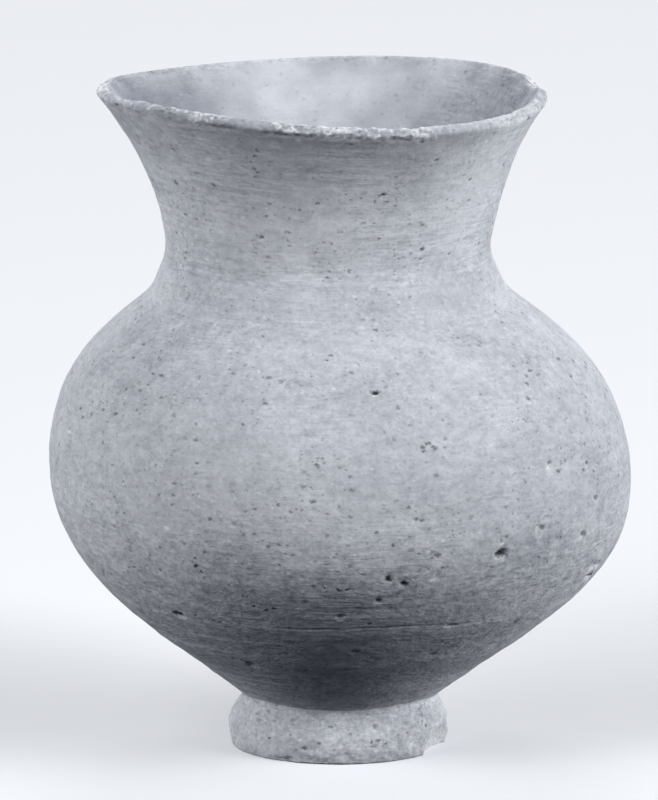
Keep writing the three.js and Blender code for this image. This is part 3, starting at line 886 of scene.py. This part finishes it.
def fired_clay(name, level, weights, heights, marks, outline=wall):
    """An unglazed clay: dark and pale tones mixed by soft layers, then fresh breaks, inclusions and marks.
    Weights say how much each layer changes the tone, and heights how many millimetres it stands out."""
    material, tree = blank_material(name)
    place = add(tree, "TexCoord", {})["Object"]
    wheel = add(tree, "Attribute", {}, attribute_name="wheel")["Vector"]
    broken, coarse, tone_and_painted_light = (add(tree, "Attribute", {}, attribute_name=read)["Fac"] for read in FLOATS_READ)
    spaces = {"object": place, "wheel": wheel}

    # Lower on the wall the shaving tool dragged the grit, so streaks and pores are stronger there
    up = add(tree, "SeparateXYZ", {"Vector": place})["Z"]
    shaved = add(tree, "MapRange", {
        "Value": up, "From Min": 66 * MM, "From Max": 34 * MM, "To Min": 0.85, "To Max": 1.7,
    }, **EASED)["Result"]

    # Wheel lines show in places and are wiped off between them
    wiped = lumps(tree, place, LINED_SIZE, 1)[0]
    lined = add(tree, "MapRange", {
        "Value": wiped, "From Min": 0.35, "From Max": 0.62, "To Min": 0.35, "To Max": 1.5,
    }, **EASED)["Result"]

    # The tone starts at the clay's level, moved at each point by uneven tone and painted light and shade
    tone = add(tree, "Math", {0: tone_and_painted_light, 1: level})[0]
    relief = 0.0
    for layer, (space, size, octaves) in SOFT_LAYERS.items():
        texture = lumps(tree, spaces[space], size, octaves)[0]
        swing = add(tree, "Math", {0: texture, 1: 0.5}, operation="SUBTRACT")[0]
        factors = [] if layer in BROAD_LAYERS else [coarse, shaved]
        if space == "wheel":
            factors.append(lined)
        for factor in factors:
            swing = add(tree, "Math", {0: swing, 1: factor}, **MULTIPLY)[0]
        tone = add(tree, "Math", {0: swing, 1: weights[layer], 2: tone}, **MULTIPLY_ADD)[0]
        relief = add(tree, "Math", {0: swing, 1: heights[layer] * MM, 2: relief}, **MULTIPLY_ADD)[0]

    # A little noise bends the space of the inclusions and the marks, so that none is quite round
    bend = lumps(tree, place, BEND_SIZE, 2)["Color"]
    shift = add(tree, "VectorMath", {0: bend, 1: (0.5, 0.5, 0.5)}, operation="SUBTRACT")[0]
    flattened = {}
    for space, vector in spaces.items():
        bent = add(tree, "VectorMath", {0: shift, 1: [BENT_BY * MM] * 3, 2: vector}, **MULTIPLY_ADD)[0]
        flattened[space] = add(tree, "VectorMath", {0: bent, 1: (1, 1, MARK_FLATNESS)}, **MULTIPLY)[0]

    # Inclusions lie in clusters
    crowd = lumps(tree, place, CLUSTER_SIZE, 1)[0]
    crowded = add(tree, "MapRange", {
        "Value": crowd, "From Min": 0.38, "From Max": 0.66, "To Min": 0.3, "To Max": coarse,
    }, **EASED)["Result"]
    found = {}
    for layer, (cell, radius) in INCLUSIONS.items():
        cells = add(tree, "TexVoronoi", {"Vector": flattened["object"], "Scale": 1 / (cell * MM)})
        chance = add(tree, "SeparateColor", {"Color": cells["Color"]})["Red"]
        size = add(tree, "Math", {0: chance, 1: 1.5}, operation="POWER")[0]
        reach = add(tree, "Math", {0: size, 1: radius / cell, 2: 0.02}, **MULTIPLY_ADD)[0]
        ratio = add(tree, "Math", {0: cells["Distance"], 1: reach}, operation="DIVIDE")[0]
        spot = add(tree, "MapRange", {
            "Value": ratio, "From Min": 1.5, "From Max": 0.2, "To Max": weights[layer],
        }, **EASED)["Result"]
        found[layer] = add(tree, "Math", {0: spot, 1: crowded}, **MULTIPLY)[0]
        relief = add(tree, "Math", {0: found[layer], 1: heights[layer] * MM, 2: relief}, **MULTIPLY_ADD)[0]

    # Over the soft tones lie the fresh breaks, in crumbs, then the inclusions and the marks
    colour = add(tree, "Mix", {0: tone, 6: linear(TONES["dark"]), 7: linear(TONES["pale"])}, **COLOURS)[2]
    crumbled = add(tree, "MapRange", {
        "Value": lumps(tree, place, CRUMB_SIZE, 2)[0], "From Min": 0.38, "From Max": 0.6,
        "To Min": 0.25, "To Max": weights["broken"],
    }, **EASED)["Result"]
    fresh = add(tree, "Math", {0: broken, 1: crumbled}, **MULTIPLY)[0]
    # The pores are hollows darkened as painted shade; the fresh breaks, the dark specks and the pale grit are
    # the clay's own tones
    layers = [
        (fresh, "fresh", 0), (found["specks"], "pore", 0), (found["pores"], "pore", 0),
        (found["grit"], "grit", 0),
    ]
    for kind, tint, strength, height in MARK_KINDS:
        if kind in marks:
            nearest = nearest_mark(tree, flattened["wheel"], marks[kind], outline)
            spot = add(tree, "MapRange", {
                "Value": nearest, "From Min": 1.6, "From Max": 0.35, "To Max": strength,
            }, **EASED)["Result"]
            layers.append((spot, tint, height))
    for amount, tint, height in layers:
        colour = add(tree, "Mix", {0: amount, 6: colour, 7: linear(TONES[tint])}, **COLOURS)[2]
        if height:
            relief = add(tree, "Math", {0: amount, 1: height * MM, 2: relief}, **MULTIPLY_ADD)[0]

    normal = add(tree, "Bump", {"Height": relief, "Distance": 1.0, "Strength": 1.0})["Normal"]
    shader = add(tree, "BsdfPrincipled", {
        "Base Color": colour, "Roughness": 0.93, "Diffuse Roughness": 0.6, "Specular IOR Level": 0.25,
        "Normal": normal,
    })[0]
    add(tree, "OutputMaterial", {"Surface": shader})
    return material


# How the listed marks look: their tone, how strong it is, and how high they stand in millimetres
# The black marks and the dark marks sink as hollows; their tones are painted shade in them, partly the clay's
# dark specks
MARK_KINDS = (("light", "grit", 0.75, 0.05), ("dark", "pore", 0.7, -0.12), ("black", "black", 0.95, -0.3))

TONES = {
    "dark": "#6c727e", "pale": "#dfe2e8", "fresh": "#e9ebef", "pore": "#4a4e57", "black": "#24262b",
    "grit": "#eef0f4",
}
WALL_WEIGHTS = {
    "clouds": 0.14, "mottling": 0.36, "patches": 0.60, "blotches": 0.40, "streaks": 0.16, "drags": 0.22,
    "grain": 0.16, "broken": 0.85, "pores": 0.66, "specks": 0.5, "grit": 0.55,
}
WALL_HEIGHTS = {
    "clouds": 0.0, "mottling": 0.0, "patches": 0.10, "blotches": 0.05, "streaks": 0.05, "drags": 0.04,
    "grain": 0.02, "pores": -0.16, "specks": -0.06, "grit": 0.06,
}

# Coarse buff earthenware, thrown on the wheel and fired without glaze: chalky, with straw and grit lost
body_clay = fired_clay("thrown_earthenware", 0.63, WALL_WEIGHTS, WALL_HEIGHTS,
                       {"black": BODY_BLACK, "dark": BODY_DARK, "light": BODY_LIGHT})

# The same clay on the neck, where wet fingers left closer lines
neck_clay = fired_clay("finger_drawn_earthenware", 0.60,
                       WALL_WEIGHTS | {"streaks": 0.44, "drags": 0.5, "mottling": 0.46}, WALL_HEIGHTS,
                       {"dark": NECK_DARK, "light": NECK_LIGHT})

# The same clay pressed on by hand as a coil: rougher, paler, and without wheel lines
FOOT_WEIGHTS = WALL_WEIGHTS | {"patches": 0.24, "streaks": 0.0, "drags": 0.05, "grain": 0.2, "pores": 0.5}
FOOT_HEIGHTS = WALL_HEIGHTS | {"grain": 0.04, "streaks": 0.0}
foot_clay = fired_clay("hand_pressed_earthenware", 0.72, FOOT_WEIGHTS, FOOT_HEIGHTS,
                       {"dark": FOOT_DARK, "light": FOOT_LIGHT}, foot_wall)

# Clay let down with water and smeared over the joints: finer than the wall, with the drag of the hand in it
slip_clay = fired_clay("smeared_clay_slip", 0.67,
                       WALL_WEIGHTS | {"streaks": 0.2, "drags": 0.25, "patches": 0.45, "pores": 0.4},
                       WALL_HEIGHTS, {})

PIECES = (
    (make_body, "body", "body_clay", body_clay),
    (make_neck, "neck", "neck_clay", neck_clay),
    (make_neck_slip, "neck_luting_slip", "slip_clay", slip_clay),
    (make_foot, "foot_ring", "foot_clay", foot_clay),
    (make_foot_slip, "foot_luting_slip", "slip_clay", slip_clay),
)
for make, node_name, slot_name, material in PIECES:
    piece = make()
    piece.data.materials.append(material)
    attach(piece, "root")
    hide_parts(node_name)

# The camera, as far off as the photograph's and a little to the left, so the jar stands right of the middle
CAMERA_DISTANCE = 2.6
CAMERA_ELEVATION = 11.4
CAMERA_LENS = 566.5
CAMERA_TARGET = (-0.00227, 0, 0.0722)


def towards(azimuth, elevation):
    """The unit vector from the jar at an azimuth, where 0 is the front and 90 the right, and an elevation."""
    turn = np.radians(azimuth)
    out, up = direction(elevation)
    return Vector((out * np.sin(turn), -out * np.cos(turn), up))


def aim(thing, place, target):
    """Puts a camera or a lamp at a place and turns it to its target."""
    thing.location = place
    thing.rotation_euler = (Vector(target) - Vector(place)).to_track_quat("-Z", "Y").to_euler()
    bpy.context.scene.collection.objects.link(thing)


camera = bpy.data.objects.new("camera", bpy.data.cameras.new("camera"))
camera.data.lens = CAMERA_LENS
camera.data.sensor_width = 36
camera.data.clip_end = 100
aim(camera, Vector(CAMERA_TARGET) + CAMERA_DISTANCE * towards(0, CAMERA_ELEVATION), CAMERA_TARGET)
bpy.context.scene.camera = camera

# Soft lamps: azimuth, elevation and power in watts. Two light the jar from the sides, lower ones behind them
# reach round its edges, and a weak one at the back is there for the other views.
LAMPS = {
    "right": (60, 25, 38), "left": (-60, 25, 18), "high_left": (-35, 40, 14.5), "right_edge": (85, 25, 16),
    "left_edge": (-85, 25, 12), "back": (180, 40, 14),
}
LAMP_SIDE = 0.9
LAMP_DISTANCE = 2.2
LAMP_TARGET = (0, 0, 0.07)
for name, (azimuth, elevation, power) in LAMPS.items():
    lamp = bpy.data.objects.new(name, bpy.data.lights.new(name, "AREA"))
    lamp.data.size = LAMP_SIDE
    lamp.data.energy = power
    aim(lamp, Vector(LAMP_TARGET) + LAMP_DISTANCE * towards(azimuth, elevation), LAMP_TARGET)

# The floor and the world look pale to the camera and give the jar little light from below
FLOOR_RADIUS = 6
FLOOR_PALE = "#d3d5d9"
FLOOR_GLOW = 0.38
FLOOR_DIM = "#1f2531"
WORLD_PALE = "#dcdee2"
WORLD_DIM = "#161b24"


def seen(tree):
    """1 for a ray that the camera sees directly, in a reflection or through something clear, else 0."""
    path = add(tree, "LightPath", {})
    largest = path["Is Camera Ray"]
    for other in (path["Is Glossy Ray"], path["Is Transmission Ray"]):
        largest = add(tree, "Math", {0: largest, 1: other}, operation="MAXIMUM")[0]
    return largest


def make_floor():
    """A flat disc, pale from above and clear from below, so that views from under it show the jar's foot."""
    angles = np.linspace(0, 2 * np.pi, 64, endpoint=False)
    points = FLOOR_RADIUS * carried_round(1, 0, angles)
    mesh = bpy.data.meshes.new("floor")
    mesh.from_pydata(points.tolist(), [], [list(range(len(points)))])
    material, tree = blank_material("pale_paper_floor")
    direct = seen(tree)
    colour = add(tree, "Mix", {0: direct, 6: linear(FLOOR_DIM), 7: linear(FLOOR_PALE)}, **COLOURS)[2]
    matt = add(tree, "BsdfDiffuse", {"Color": colour})[0]
    glow = add(tree, "Math", {0: direct, 1: FLOOR_GLOW}, **MULTIPLY)[0]
    pale = add(tree, "Emission", {"Color": linear(FLOOR_PALE), "Strength": glow})[0]
    paper = add(tree, "AddShader", {0: matt, 1: pale})[0]
    clear = add(tree, "BsdfTransparent", {})[0]
    below = add(tree, "NewGeometry", {})["Backfacing"]
    both = add(tree, "MixShader", {0: below, 1: paper, 2: clear})[0]
    add(tree, "OutputMaterial", {"Surface": both})
    mesh.materials.append(material)
    floor = bpy.data.objects.new("floor", mesh)
    bpy.context.scene.collection.objects.link(floor)
    return floor


make_floor()

world = bpy.data.worlds.new("studio")
world.use_nodes = True
sky_tree = world.node_tree
sky_tree.nodes.clear()
tint = add(sky_tree, "Mix", {0: seen(sky_tree), 6: linear(WORLD_DIM), 7: linear(WORLD_PALE)}, **COLOURS)[2]
sky = add(sky_tree, "Background", {"Color": tint, "Strength": 1.0})[0]
add(sky_tree, "OutputWorld", {"Surface": sky})
bpy.context.scene.world = world
bpy.context.scene.view_settings.view_transform = "Standard"
